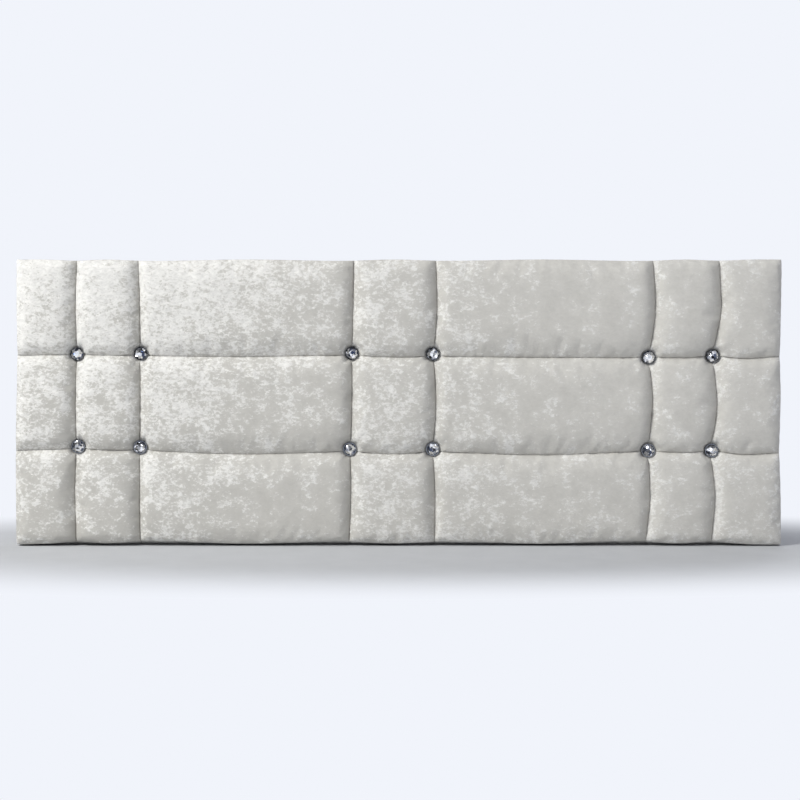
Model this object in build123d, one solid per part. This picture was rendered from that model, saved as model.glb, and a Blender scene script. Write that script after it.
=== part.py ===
from build123d import *
from math import atan2, cos, degrees, radians
import os

# Padded headboard for a double bed. A softwood frame is faced with hardboard and carries a slab of
# foam, slit along the seams. A velvet cover is sewn into 7 by 3 pads, with its pleats pushed down
# the slits, and is stapled behind. A crystal button is tied down at every crossing of two seams.
# Lengths are in millimetres. X runs along the width, Y from front to back, Z up. The origin is on
# the floor, midway along the width and midway through the depth.

# Sewn pads, from left to right and from the floor up
pad_widths = (104.0, 115.0, 381.0, 149.0, 388.0, 115.0, 118.0)
pad_heights = (168.0, 172.0, 173.0)

# Padding, with depths counted forward from the face panel
crown_depth = 43.0
seam_depth = 25.0
crossing_depth = 19.0
side_depth = 30.0
side_seam_depth = 20.0
slit_floor_depth = 12.0
pleat_floor_depth = 18.5
pleat_opening = 0.5
shoulder_width = 20.0
crossing_shoulder_width = 26.0
side_shoulder_width = 14.0
pull_reach = 60.0
bottom_tuck = 4.0
top_tuck = 2.0
end_tuck = 4.0
end_tuck_radius = 200.0
sole_depth = 0.5
sag_share = 0.15
half_column_steps = 9

# Velvet cover
cover_thickness = 1.5
cover_return = 34.0
frame_step = 2.0

# Running gaps
soft_gap = 0.3
fit_gap = 0.2
overrun = 5.0

# Softwood frame and hardboard face
frame_thickness = 20.0
rail_height = 45.0
stile_width = 45.0
strut_batten_width = 60.0
centre_batten_width = 45.0
panel_thickness = 4.0
corner_block_leg = 60.0
corner_block_thickness = 12.0

# Frame screws, two through a rail into each end of an upright
screw_length = 75.0
screw_radius = 2.25
screw_head_radius = 4.5
screw_head_height = 3.0
screw_place_share = 0.25

# Pins that nail the face panel to the frame
pin_length = 16.0
pin_radius = 0.75
pin_head_radius = 1.6
pin_head_height = 0.8
pin_pitch = 120.0
upright_pin_shares = (0.3, 0.7)

# Threaded tee nuts for the bolts of the bed's two struts
strut_spacing = 1030.0
lower_bolt_height = 85.0
bolt_rise = 160.0
bolt_hole_radius = 4.25
nut_bore_radius = 4.1
nut_barrel_radius = 5.0
nut_barrel_length = 9.0
nut_flange_radius = 11.0
nut_flange_thickness = 1.5
prong_radius = 8.5
prong_width = 3.0
prong_thickness = 1.0
prong_length = 6.0
prong_count = 4

# Crystal buttons, with each one's wander from its crossing as shares of its own diameter,
# upper row first and from left to right
button_diameter = 24.0
button_offset_shares = (
    ((0.1, 0.15), (0.1, 0.2), (0.0, 0.2), (-0.15, 0.15), (-0.15, -0.1), (-0.15, 0.0)),
    ((0.2, 0.4), (0.05, 0.35), (-0.15, 0.2), (-0.15, 0.2), (-0.2, 0.1), (-0.25, 0.1)),
)
seat_depth = 17.5
seat_margin = 1.0
seat_slope_share = 0.6
cup_height = 4.2
cup_wall = 1.1
cup_floor = 1.0
cup_edge = 0.4
crystal_girdle_height = 3.4
crystal_crown_height = 4.6
crystal_table_radius = 4.6
facet_count = 8
star_slope = 22.0
girdle_slope = 45.0
facet_turn = 11.0

# Shank loop, twine and toggle of a button
shank_wire_radius = 0.8
shank_loop_radius = 2.4
shank_leg_length = 3.5
twine_radius = 0.7
twine_bore_radius = 4.0
knot_radius = 2.9
tail_length = 9.0
tail_slopes = (75.0, -110.0)
toggle_radius = 9.0
toggle_thickness = 3.0

# Wire staples
staple_crown_length = 10.0
staple_wire_width = 1.2
staple_wire_thickness = 0.6
staple_leg_reach = 6.0
cover_staple_inset = 22.0
cover_staple_pitch = 55.0
dust_staple_inset = 6.0
dust_staple_pitch = 105.0

# Dust cover behind the frame
dust_thickness = 0.6
dust_inset = 9.0
bolt_window_radius = 13.0

# Places that follow from the sizes above
width = sum(pad_widths)
height = sum(pad_heights)
depth = (
    crown_depth
    + panel_thickness
    + frame_thickness
    + cover_thickness
    + dust_thickness
    + staple_wire_thickness
)
panel_front = crown_depth - depth / 2
frame_front = panel_front + panel_thickness
frame_back = frame_front + frame_thickness
cover_back = frame_back + cover_thickness
dust_back = cover_back + dust_thickness
column_edges = [sum(pad_widths[:n]) - width / 2 for n in range(len(pad_widths) + 1)]
row_edges = [sum(pad_heights[:n]) for n in range(len(pad_heights) + 1)]
cover_half = width / 2 - frame_step
cover_top = height - frame_step
frame_half = cover_half - cover_thickness - soft_gap
frame_bottom = cover_thickness + soft_gap
frame_top = cover_top - cover_thickness - soft_gap
upright_bottom = frame_bottom + rail_height
upright_top = frame_top - rail_height
bolt_heights = (lower_bolt_height, lower_bolt_height + bolt_rise)
button_radius = button_diameter / 2
cup_back = panel_front - seat_depth - soft_gap
cup_front = cup_back - cup_height
strand_offset = shank_wire_radius + fit_gap + twine_radius
toggle_back = frame_front + toggle_thickness


def block(low, high):
    """A box from its lowest corner to its highest."""
    size = Vector(*high) - Vector(*low)
    return Pos(*low) * Box(size.X, size.Y, size.Z, align=(Align.MIN, Align.MIN, Align.MIN))


def cone_y(x, z, front_radius, back_radius, front, back):
    """A cone frustum along Y, between two places."""
    upright = Cone(front_radius, back_radius, back - front, align=(Align.CENTER, Align.CENTER, Align.MIN))
    return Pos(x, front, z) * Rot(-90, 0, 0) * upright


def rod_y(x, z, radius, front, back):
    """A round rod along Y, between two places."""
    upright = Cylinder(radius, back - front, align=(Align.CENTER, Align.CENTER, Align.MIN))
    return Pos(x, front, z) * Rot(-90, 0, 0) * upright


def between(start, end, share):
    """The value at a share of the way from start to end."""
    return start + (end - start) * share


def spaced(start, end, pitch):
    """Even places along a run, about a pitch apart and half a pitch in from its ends."""
    count = max(1, int((end - start) / pitch))
    return [between(start, end, (n + 0.5) / count) for n in range(count)]


def row_arcs(x, low, high, crown):
    """Shoulder, crown and shoulder arcs of one pad's section, from (z, depth, shoulder) to the same."""
    low_z, low_depth, low_shoulder = low
    high_z, high_depth, high_shoulder = high
    brow = crown - sag_share * (crown - min(low_depth, high_depth))
    first = Vector(x, panel_front - brow, low_z + low_shoulder)
    last = Vector(x, panel_front - brow, high_z - high_shoulder)
    top = Vector(x, panel_front - crown, (first.Z + last.Z) / 2)
    crown_arc = ThreePointArc(first, top, last)
    low_end = Vector(x, panel_front - low_depth, low_z)
    high_end = Vector(x, panel_front - high_depth, high_z)
    low_arc = TangentArc(first, low_end, tangent=-(crown_arc % 0))
    high_arc = TangentArc(last, high_end, tangent=crown_arc % 1)
    return low_arc, crown_arc, high_arc


def cushion_section(x, inset, gap, state):
    """The closed outline across the padding at x: inset all round, and parted by gap at the seams."""
    crown, seam, side, shoulder, bottom, top = state
    side_edge = (side - inset, side_shoulder_width - inset)
    seam_edge = (seam - inset, shoulder - inset)
    rows = []
    for n in range(len(pad_heights)):
        low = (bottom + inset, *side_edge) if n == 0 else (row_edges[n] + gap, *seam_edge)
        is_last = n == len(pad_heights) - 1
        high = (top - inset, *side_edge) if is_last else (row_edges[n + 1] - gap, *seam_edge)
        rows.append(row_arcs(x, low, high, crown - inset))
    edges = [arc for row in rows for arc in row]
    edges += [Line(lower[2] @ 1, upper[0] @ 1) for lower, upper in zip(rows, rows[1:])]
    bottom_root = Vector(x, frame_front, inset - sole_depth)
    top_root = Vector(x, frame_front, height - inset)
    edges += [
        Line(rows[-1][2] @ 1, top_root),
        Line(top_root, bottom_root),
        Line(bottom_root, rows[0][0] @ 1),
    ]
    return Wire(edges)


def recovery(distance, reach):
    """How far the surface has recovered, 0 to 1, at a distance from a seam's pull."""
    return 1 - (1 - min(distance / reach, 1)) ** 2


def section_state(distance, half, at_end):
    """Depths, shoulder and limits of the section at a distance from a seam, or from the panel's end."""
    shoulder = side_shoulder_width if at_end else shoulder_width
    swell = between(recovery(distance, shoulder) ** 0.5, recovery(distance, half), sag_share)
    pull = recovery(distance, min(pull_reach, half))
    slack = 0 if at_end else 1 - pull
    return (
        between(side_depth if at_end else seam_depth, crown_depth, swell),
        between(side_seam_depth if at_end else crossing_depth, seam_depth, pull),
        between(side_seam_depth, side_depth, swell),
        between(crossing_shoulder_width, shoulder_width, pull),
        bottom_tuck * slack - sole_depth,
        height - top_tuck * slack,
    )


def half_column(edge_x, middle_x, inset, gap, at_end):
    """Sections from a column's edge up to its middle, the middle left out, closer near the edge."""
    half = abs(middle_x - edge_x)
    towards = (middle_x - edge_x) / half
    start = inset if at_end else gap
    sections = []
    for n in range(half_column_steps):
        distance = half * (n / half_column_steps) ** 2
        x = edge_x + towards * between(start, half, distance / half)
        sections.append(cushion_section(x, inset, gap, section_state(distance, half, at_end)))
    return sections


def column(n, inset, gap):
    """One column of pads, lofted along X."""
    left, right = column_edges[n], column_edges[n + 1]
    middle = (left + right) / 2
    half = middle - left
    sections = half_column(left, middle, inset, gap, n == 0)
    sections.append(cushion_section(middle, inset, gap, section_state(half, half, False)))
    sections += reversed(half_column(right, middle, inset, gap, n == len(pad_widths) - 1))
    return Solid.make_loft(sections)


def end_tucks(inset):
    """Round cutters that draw the two ends in at each level seam."""
    reach = width / 2 + end_tuck_radius - end_tuck
    return [
        rod_y(side * reach, z, end_tuck_radius + inset, -depth, frame_back)
        for side in (-1, 1)
        for z in row_edges[1:-1]
    ]


def cushion(inset, gap, floor_depth, base):
    """Crowned pads, inset all round and parted by gap at the seams, on a common floor and base."""
    columns = [column(n, inset, gap) for n in range(len(pad_widths))]
    behind = block((-width, panel_front - inset, -height), (width, depth, 2 * height))
    floor = panel_front - floor_depth
    slits = [block((-width, -depth, z - gap), (width, floor, z + gap)) for z in row_edges[1:-1]]
    slab_half = width / 2 - end_tuck - inset - soft_gap
    slab_top = height - top_tuck - inset - soft_gap
    slab = block((-slab_half, floor, bottom_tuck + inset), (slab_half, panel_front, slab_top))
    return (Part() + columns) - ([behind] + end_tucks(inset) + slits) + (slab + base)


def button_places():
    """Each button's x and z, upper row first and from left to right."""
    places = []
    for z, offsets in zip(reversed(row_edges[1:-1]), button_offset_shares):
        for x, (x_share, z_share) in zip(column_edges[1:-1], offsets):
            places.append((x + x_share * button_diameter, z + z_share * button_diameter))
    return places


def seats(inset):
    """The round dimples of the buttons, with their floors and walls moved out by inset."""
    mouth_depth = crown_depth + overrun
    floor_radius = button_radius + seat_margin + inset
    mouth_radius = floor_radius + (mouth_depth - seat_depth) * seat_slope_share
    mouth, floor = panel_front - mouth_depth, panel_front - seat_depth + inset
    return [cone_y(x, z, mouth_radius, floor_radius, mouth, floor) for x, z in button_places()]


def twine_bores(radius, back):
    """Round passages for shanks and twines, from in front of the seats to a place behind."""
    front = panel_front - seat_depth - overrun
    return [rod_y(x, z, radius, front, back) for x, z in button_places()]


def staple(crown_face, gap):
    """A wire staple driven forward from its crown's outer face, or its pocket where gap isn't zero."""
    half = staple_crown_length / 2 + gap
    half_width = staple_wire_width / 2 + gap
    inner_half = half - staple_wire_thickness - 2 * gap
    crown_inner = crown_face - staple_wire_thickness - gap
    point = frame_back - staple_leg_reach - gap
    wire = block((-half, crown_inner, -half_width), (half, crown_face + gap, half_width))
    for low, high in ((-half, -inner_half), (inner_half, half)):
        wire += block((low, point, -half_width), (high, crown_face, half_width))
    return wire


def staple_ring(inset, pitch, crown_face, gap):
    """Staples in a ring round the back, at an inset from the covered board's edge."""
    level = staple(crown_face, gap)
    upright = Rot(0, 90, 0) * level
    half, low, high = cover_half - inset, inset, cover_top - inset
    corner = staple_crown_length
    ring = []
    for x in spaced(corner - half, half - corner, pitch):
        ring += [Pos(x, 0, z) * level for z in (low, high)]
    for z in spaced(low + corner, high - corner, pitch):
        ring += [Pos(x, 0, z) * upright for x in (-half, half)]
    return ring


def cover_staple_ring(gap):
    return staple_ring(cover_staple_inset, cover_staple_pitch, cover_back, gap)


def dust_staple_ring(gap):
    face = dust_back + staple_wire_thickness
    return staple_ring(dust_inset + dust_staple_inset, dust_staple_pitch, face, gap)


def velvet_cover(pockets):
    """The sewn velvet: padded front, sides, pleats in the foam and the return stapled behind."""
    board = block((-cover_half, panel_front, -2 * sole_depth), (cover_half, cover_back, cover_top))
    below = block((-width, -depth, -height), (width, depth, 0))
    outer = cushion(0, pleat_opening / 2, pleat_floor_depth, board) - ([below] + seats(0))
    inner_half, inner_top = cover_half - cover_thickness, cover_top - cover_thickness
    inner_front = panel_front - cover_thickness
    inside = block((-inner_half, inner_front, cover_thickness), (inner_half, frame_back, inner_top))
    cavity = cushion(cover_thickness, cover_thickness, slit_floor_depth, inside)
    cavity -= seats(cover_thickness)
    window_half, window_top = cover_half - cover_return, cover_top - cover_return
    window = block(
        (-window_half, frame_back - overrun, cover_return),
        (window_half, cover_back + overrun, window_top),
    )
    bores = twine_bores(twine_bore_radius, panel_front - slit_floor_depth + overrun)
    return outer - cavity - ([window] + bores + pockets)


def foam_slab():
    """Upholstery foam, crowned by the pull of the cover, slit for its pleats and bored for twines."""
    inset = cover_thickness + soft_gap
    base = block((-frame_half, panel_front - inset, frame_bottom), (frame_half, panel_front, frame_top))
    body = cushion(inset, inset, slit_floor_depth, base)
    return body - (seats(inset) + twine_bores(twine_bore_radius, frame_front))


def uprights():
    """Name, middle and width of each upright of the frame."""
    stile_x = frame_half - stile_width / 2
    return [
        ("left_stile", -stile_x, stile_width),
        ("left_strut_batten", -strut_spacing / 2, strut_batten_width),
        ("centre_batten", 0, centre_batten_width),
        ("right_strut_batten", strut_spacing / 2, strut_batten_width),
        ("right_stile", stile_x, stile_width),
    ]


def frame_screw(x, from_top, gap):
    """A countersunk screw through a rail into the end of an upright, or its hole."""
    centred = (Align.CENTER, Align.CENTER, Align.MIN)
    shaft = Cylinder(screw_radius + gap, screw_length + gap, align=centred)
    head = Cone(screw_head_radius + gap, screw_radius + gap, screw_head_height, align=centred)
    screw = shaft + head
    y = (frame_front + frame_back) / 2
    if from_top:
        return Pos(x, y, frame_top) * Rot(180, 0, 0) * screw
    return Pos(x, y, frame_bottom) * screw


def frame_screws(gap):
    screws = []
    for _, middle, upright_width in uprights():
        for side in (-1, 1):
            x = middle + side * screw_place_share * upright_width
            screws += [frame_screw(x, from_top, gap) for from_top in (False, True)]
    return screws


def panel_pin(x, z, gap):
    """A flat-headed pin driven through the face panel, or its hole."""
    shaft = rod_y(x, z, pin_radius + gap, panel_front, panel_front + pin_length + gap)
    return shaft + rod_y(x, z, pin_head_radius + gap, panel_front, panel_front + pin_head_height + gap)


def panel_pins(gap):
    """Pins along both rails between the uprights, and two in each upright."""
    middles = [middle for _, middle, _ in uprights()]
    rail_middles = (frame_bottom + rail_height / 2, frame_top - rail_height / 2)
    places = []
    for start, end in zip(middles, middles[1:]):
        places += [(x, z) for x in spaced(start, end, pin_pitch) for z in rail_middles]
    for x in middles:
        places += [(x, between(upright_bottom, upright_top, share)) for share in upright_pin_shares]
    return [panel_pin(x, z, gap) for x, z in places]


def tee_nut_places():
    return [(side * strut_spacing / 2, z) for side in (-1, 1) for z in bolt_heights]


def tee_nut_body(x, z, gap):
    """Flange, barrel and prongs of a tee nut without its bore, or the wood cut out for them."""
    body = rod_y(x, z, nut_flange_radius + gap, frame_front, frame_front + nut_flange_thickness + gap)
    body += rod_y(x, z, nut_barrel_radius + gap, frame_front, frame_front + nut_barrel_length + gap)
    half_thickness, half_width = prong_thickness / 2 + gap, prong_width / 2 + gap
    prong = block(
        (prong_radius - half_thickness, frame_front, -half_width),
        (prong_radius + half_thickness, frame_front + prong_length + gap, half_width),
    )
    for n in range(prong_count):
        body += Pos(x, 0, z) * Rot(0, 360 * n / prong_count, 0) * prong
    return body


def tee_nuts():
    bores = [rod_y(x, z, nut_bore_radius, frame_front, frame_back) for x, z in tee_nut_places()]
    return [tee_nut_body(x, z, 0) - bore for (x, z), bore in zip(tee_nut_places(), bores)]


def timber(low, high, holes):
    """A length of the frame's timber between two corners, with the holes that reach into it."""
    board = block(low, high)
    near = [hole for hole in holes if meets(hole, low, high)]
    return board - near


def meets(shape, low, high):
    """Whether a shape's box reaches into the box between two corners."""
    box = shape.bounding_box()
    spans = zip(low, high, tuple(box.min), tuple(box.max))
    return all(start < box_end and box_start < end for start, end, box_start, box_end in spans)


def rail(low, holes):
    return timber((-frame_half, frame_front, low), (frame_half, frame_back, low + rail_height), holes)


def upright(middle, upright_width, holes):
    half = upright_width / 2
    low, high = (middle - half, frame_front, upright_bottom), (middle + half, frame_back, upright_top)
    return timber(low, high, holes)


def strut_holes():
    """Holes in the strut battens for the tee nuts and the bolts that come in from behind."""
    holes = [tee_nut_body(x, z, fit_gap) for x, z in tee_nut_places()]
    holes += [rod_y(x, z, bolt_hole_radius, frame_front, frame_back) for x, z in tee_nut_places()]
    return holes


def face_panel():
    """Hardboard nailed to the front of the frame, with a hole for every twine."""
    board = block((-frame_half, panel_front, frame_bottom), (frame_half, frame_front, frame_top))
    return board - (twine_bores(twine_bore_radius, frame_front + overrun) + panel_pins(fit_gap))


def corner_block(side, at_top):
    """A triangular block glued behind the face panel in a corner of the frame."""
    x = side * (frame_half - stile_width)
    z = upright_top if at_top else upright_bottom
    rise = -corner_block_leg if at_top else corner_block_leg
    corners = [
        Vector(x, frame_front, z),
        Vector(x - side * corner_block_leg, frame_front, z),
        Vector(x, frame_front, z + rise),
    ]
    face = make_face(Polyline(corners, close=True))
    return extrude(face, corner_block_thickness, dir=(0, 1, 0))


def hoop(wire_radius, bend_radius, leg_length):
    """A wire bent to a U: two legs from y = 0 along +Y, and a half turn in the XY plane."""
    left, right = Vector(-bend_radius, 0, 0), Vector(bend_radius, 0, 0)
    leg = Vector(0, leg_length, 0)
    turn = leg + Vector(0, bend_radius, 0)
    path = Wire(
        [
            Line(left, left + leg),
            RadiusArc(left + leg, turn, bend_radius),
            RadiusArc(turn, right + leg, bend_radius),
            Line(right + leg, right),
        ]
    )
    section = Plane(left, x_dir=(1, 0, 0), z_dir=(0, 1, 0)) * Circle(wire_radius)
    return sweep(section, path=path)


def button_cup(x, z):
    """A turned cup with its shank loop behind."""
    cup = rod_y(0, 0, button_radius, cup_front, cup_back)
    cup = chamfer(cup.edges().filter_by(GeomType.CIRCLE), cup_edge)
    cup -= rod_y(0, 0, button_radius - cup_wall, cup_front - overrun, cup_back - cup_floor)
    root = cup_back - cup_floor / 2
    shank = hoop(shank_wire_radius, shank_loop_radius, cup_back + shank_leg_length - root)
    return Pos(x, 0, z) * (cup + Pos(0, root, 0) * shank)


def facet_cut(radius, level, slope, turn):
    """A half space beyond a facet through a point at a radius and level, turned about the axis."""
    size = 4 * button_diameter
    beyond = Box(size, size, size, align=(Align.CENTER, Align.CENTER, Align.MIN))
    return Rot(0, 0, turn) * Pos(radius, 0, level) * Rot(0, slope, 0) * beyond


def crystal():
    """A cut stone with its flat back on z = 0: table, star, kite and girdle facets."""
    radius = button_radius - cup_wall - fit_gap
    top = crystal_girdle_height + crystal_crown_height
    stone = Cylinder(radius, top, align=(Align.CENTER, Align.CENTER, Align.MIN))
    kite_slope = degrees(atan2(crystal_crown_height, radius - crystal_table_radius))
    step = 360 / facet_count
    girdle_radius = radius * cos(radians(step / 4))
    for n in range(facet_count):
        stone -= facet_cut(radius, crystal_girdle_height, kite_slope, n * step)
        stone -= facet_cut(crystal_table_radius, top, star_slope, (n + 0.5) * step)
        for quarter in (0.25, 0.75):
            turn = (n + quarter) * step
            stone -= facet_cut(girdle_radius, crystal_girdle_height, girdle_slope, turn)
    return stone


def button_crystal(stone, n, x, z):
    """One stone in its cup, turned about its axis a little more than the last."""
    return Pos(x, cup_back - cup_floor, z) * Rot(90, 0, 0) * Rot(0, 0, n * facet_turn) * stone


def button_twine(x, z):
    """Twine through a shank loop and back through its toggle, knotted behind."""
    bend = cup_back + shank_leg_length + shank_loop_radius
    knot_y = toggle_back + knot_radius + fit_gap
    loop = Rot(0, 90, 0) * Rot(0, 0, 180) * hoop(twine_radius, strand_offset, knot_y - bend)
    tails = [
        Rot(0, slope, 0) * Cylinder(twine_radius, tail_length, align=(Align.CENTER, Align.CENTER, Align.MIN))
        for slope in tail_slopes
    ]
    return Pos(x, knot_y, z) * (loop + Sphere(knot_radius) + tails)


def button_toggle(x, z):
    """A two-hole disc that spreads the twine's pull on the face panel."""
    disc = rod_y(x, z, toggle_radius, frame_front, toggle_back)
    holes = [
        rod_y(x, z + side * strand_offset, twine_radius + fit_gap, panel_front, frame_back)
        for side in (-1, 1)
    ]
    return disc - holes


def dust_cover():
    """Thin black cloth over the back of the frame, cut away round the bolt holes."""
    half, low, high = cover_half - dust_inset, dust_inset, cover_top - dust_inset
    cloth = block((-half, cover_back, low), (half, dust_back, high))
    windows = [rod_y(x, z, bolt_window_radius, frame_back, dust_back + overrun) for x, z in tee_nut_places()]
    return cloth - (windows + dust_staple_ring(fit_gap))


def nodes():
    """Every piece of the headboard by name."""
    pockets = cover_staple_ring(fit_gap) + dust_staple_ring(fit_gap)
    holes = frame_screws(fit_gap) + panel_pins(fit_gap) + strut_holes() + pockets
    pieces = {
        "velvet_cover": velvet_cover(pockets),
        "foam_slab": foam_slab(),
        "face_panel": face_panel(),
        "bottom_rail": rail(frame_bottom, holes),
        "top_rail": rail(upright_top, holes),
    }
    for name, middle, upright_width in uprights():
        pieces[name] = upright(middle, upright_width, holes)
    for side, side_name in ((-1, "left"), (1, "right")):
        for at_top, level in ((False, "lower"), (True, "upper")):
            pieces[f"{level}_{side_name}_corner_block"] = corner_block(side, at_top)
    pieces["frame_screws"] = frame_screws(0)
    pieces["panel_pins"] = panel_pins(0)
    pieces["tee_nuts"] = tee_nuts()
    stone = crystal()
    for n, (x, z) in enumerate(button_places(), start=1):
        pieces[f"button_crystal_{n}"] = button_crystal(stone, n, x, z)
        pieces[f"button_cup_{n}"] = button_cup(x, z)
    pieces["button_twines"] = [button_twine(x, z) for x, z in button_places()]
    pieces["button_toggles"] = [button_toggle(x, z) for x, z in button_places()]
    pieces["cover_staples"] = cover_staple_ring(0)
    pieces["dust_cover"] = dust_cover()
    pieces["dust_cover_staples"] = dust_staple_ring(0)
    return pieces


os.makedirs("parts", exist_ok=True)
for name, piece in nodes().items():
    shape = Compound(piece) if isinstance(piece, list) else piece
    export_step(shape, f"parts/{name}.step")
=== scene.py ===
# Padded headboard in pale crushed velvet, standing on its bottom edge on a studio floor. Lengths are
# written in millimetres times mm, and in plain metres for the lamps and the floor. X runs along the
# width, Y from front to back and Z up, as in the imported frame.
import math

import bmesh
import bpy
import numpy as np
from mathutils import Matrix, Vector, noise


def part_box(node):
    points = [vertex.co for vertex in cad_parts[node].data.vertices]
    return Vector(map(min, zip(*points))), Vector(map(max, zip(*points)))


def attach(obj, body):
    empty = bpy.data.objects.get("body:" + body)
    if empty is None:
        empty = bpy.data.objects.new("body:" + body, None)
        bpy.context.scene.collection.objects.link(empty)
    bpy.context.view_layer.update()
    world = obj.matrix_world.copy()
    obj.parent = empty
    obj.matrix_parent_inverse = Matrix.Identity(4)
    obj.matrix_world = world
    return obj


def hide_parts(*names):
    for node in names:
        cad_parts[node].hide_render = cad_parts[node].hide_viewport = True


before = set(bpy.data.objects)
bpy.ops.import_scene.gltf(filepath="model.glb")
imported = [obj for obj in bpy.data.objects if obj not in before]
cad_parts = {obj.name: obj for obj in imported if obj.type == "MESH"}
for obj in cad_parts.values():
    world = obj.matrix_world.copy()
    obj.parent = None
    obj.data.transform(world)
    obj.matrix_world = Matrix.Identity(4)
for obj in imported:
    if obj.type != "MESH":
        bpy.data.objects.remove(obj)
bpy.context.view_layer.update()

# Camera. Square on to the front, just below the height of the board's upper seam, with a small shift
# down in place of a tilt, so that the ends stay upright.
mm = 0.001
camera = bpy.data.objects.new("camera", bpy.data.cameras.new("camera"))
camera.data.sensor_width = 36
camera.data.lens = 65.2
camera.data.shift_y = -0.048
camera.location = (1.6 * mm, -2615 * mm, 330 * mm)
camera.rotation_euler = (math.radians(90), 0, 0)
bpy.context.scene.collection.objects.link(camera)
bpy.context.scene.camera = camera
bpy.context.scene.view_settings.view_transform = "Standard"


# Studio air. Pale and a little cool where the camera, metal and glass look at it, and dim towards the
# front, as a studio is behind the camera, so that cut glass has something dark to show.
def linear(colour, alpha=1.0):
    """An sRGB hex colour as linear values."""
    shares = [int(colour[n : n + 2], 16) / 255 for n in (1, 3, 5)]
    return [s / 12.92 if s <= 0.04045 else ((s + 0.055) / 1.055) ** 2.4 for s in shares] + [alpha]


def node(tree, kind, inputs=None, **settings):
    """Adds a node with its settings. An input is a value, or another node's output, which is linked."""
    made = tree.nodes.new(kind)
    for name, value in settings.items():
        setattr(made, name, value)
    for name, value in (inputs or {}).items():
        socket = made.inputs[name]
        if isinstance(value, bpy.types.NodeSocket):
            tree.links.new(value, socket)
        else:
            socket.default_value = value
    return made


air_colour = linear("#F1F4FB")
world = bpy.data.worlds.new("studio_air")
bpy.context.scene.world = world
world.use_nodes = True
air = world.node_tree
air.nodes.clear()
rays = node(air, "ShaderNodeLightPath")
towards = node(air, "ShaderNodeSeparateXYZ", {0: node(air, "ShaderNodeTexCoord").outputs["Generated"]})
dimming = node(
    air,
    "ShaderNodeMapRange",
    {"Value": towards.outputs["Y"], "From Min": -0.92, "From Max": -0.55, "To Min": 0.02, "To Max": 1.0},
    interpolation_type="SMOOTHSTEP",
)
seen_in_gloss = node(
    air,
    "ShaderNodeMath",
    {0: rays.outputs["Is Glossy Ray"], 1: rays.outputs["Is Transmission Ray"]},
    operation="MAXIMUM",
)
gloss_strength = node(
    air, "ShaderNodeMath", {0: seen_in_gloss.outputs[0], 1: dimming.outputs[0]}, operation="MULTIPLY"
)
shown = node(
    air,
    "ShaderNodeMath",
    {0: rays.outputs["Is Camera Ray"], 1: gloss_strength.outputs[0]},
    operation="MAXIMUM",
)
shown_air = node(air, "ShaderNodeBackground", {"Color": air_colour, "Strength": shown.outputs[0]})
lighting_air = node(air, "ShaderNodeBackground", {"Color": linear("#F4F6FF"), "Strength": 0.36})
seen = node(
    air,
    "ShaderNodeMath",
    {0: rays.outputs["Is Camera Ray"], 1: seen_in_gloss.outputs[0]},
    operation="MAXIMUM",
)
both_airs = node(
    air, "ShaderNodeMixShader", {0: seen.outputs[0], 1: lighting_air.outputs[0], 2: shown_air.outputs[0]}
)
node(air, "ShaderNodeOutputWorld", {"Surface": both_airs.outputs[0]})


# Lamps. A broad soft lamp from the upper left gives each pad its bright left shoulder and its shaded
# right one. A weak one from the right keeps the shadows open, and another lights the back.
board_middle = Vector((0, 0, 0.25))


def lamp(name, power, side, place, colour):
    """A square soft lamp that shines at the middle of the board."""
    light = bpy.data.lights.new(name, "AREA")
    light.shape = "SQUARE"
    light.size = side
    light.energy = power
    light.color = linear(colour)[:3]
    made = bpy.data.objects.new(name, light)
    made.location = place
    made.rotation_euler = (board_middle - Vector(place)).to_track_quat("-Z", "Y").to_euler()
    made.visible_camera = False
    bpy.context.scene.collection.objects.link(made)


lamp("key_lamp", 181, 1.5, (-3.0, -2.5, 3.0), "#FFFEFA")
lamp("fill_lamp", 12, 1.6, (2.4, -2.6, 1.0), "#F6F8FF")
lamp("back_lamp", 32, 1.8, (1.4, 2.8, 2.0), "#F6F8FF")


# Floor. Pale grey and matt under the board, running out into the air's own colour all round, so that
# it has no edge in any view. It takes the board's shadow.
def bare_finish(name):
    """A new material without nodes, its node tree, and the place on the piece for its patterns."""
    finish = bpy.data.materials.new(name)
    finish.use_nodes = True
    finish.node_tree.nodes.clear()
    place = node(finish.node_tree, "ShaderNodeTexCoord").outputs["Object"]
    return finish, finish.node_tree, place


floor_half = 9.0
floor_mesh = bpy.data.meshes.new("floor")
floor_corners = [(u * floor_half, v * floor_half, 0) for u, v in ((-1, -1), (1, -1), (1, 1), (-1, 1))]
floor_mesh.from_pydata(floor_corners, [], [(0, 1, 2, 3)])
floor = bpy.data.objects.new("floor", floor_mesh)
bpy.context.scene.collection.objects.link(floor)
floor_paint, tree, place = bare_finish("matt_floor_paint")
floor_mesh.materials.append(floor_paint)
squeezed = node(tree, "ShaderNodeVectorMath", {0: place, 1: (0.42, 1.0, 1.0)}, operation="MULTIPLY")
from_middle = node(tree, "ShaderNodeVectorMath", {0: squeezed.outputs[0]}, operation="LENGTH")
run_out = node(
    tree,
    "ShaderNodeMapRange",
    {"Value": from_middle.outputs["Value"], "From Min": 0.28, "From Max": 0.62},
    interpolation_type="SMOOTHSTEP",
)
grain = node(
    tree, "ShaderNodeTexNoise", {"Vector": place, "Scale": 14.0, "Detail": 6.0, "Roughness": 0.6}
)
floor_tone = node(
    tree,
    "ShaderNodeMix",
    {0: grain.outputs[0], 6: linear("#BFC1C4"), 7: linear("#CBCDD0")},
    data_type="RGBA",
)
matt = node(tree, "ShaderNodeBsdfDiffuse", {"Color": floor_tone.outputs[2]})
glow = node(tree, "ShaderNodeEmission", {"Color": air_colour, "Strength": 1.0})
rays = node(tree, "ShaderNodeLightPath")
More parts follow.
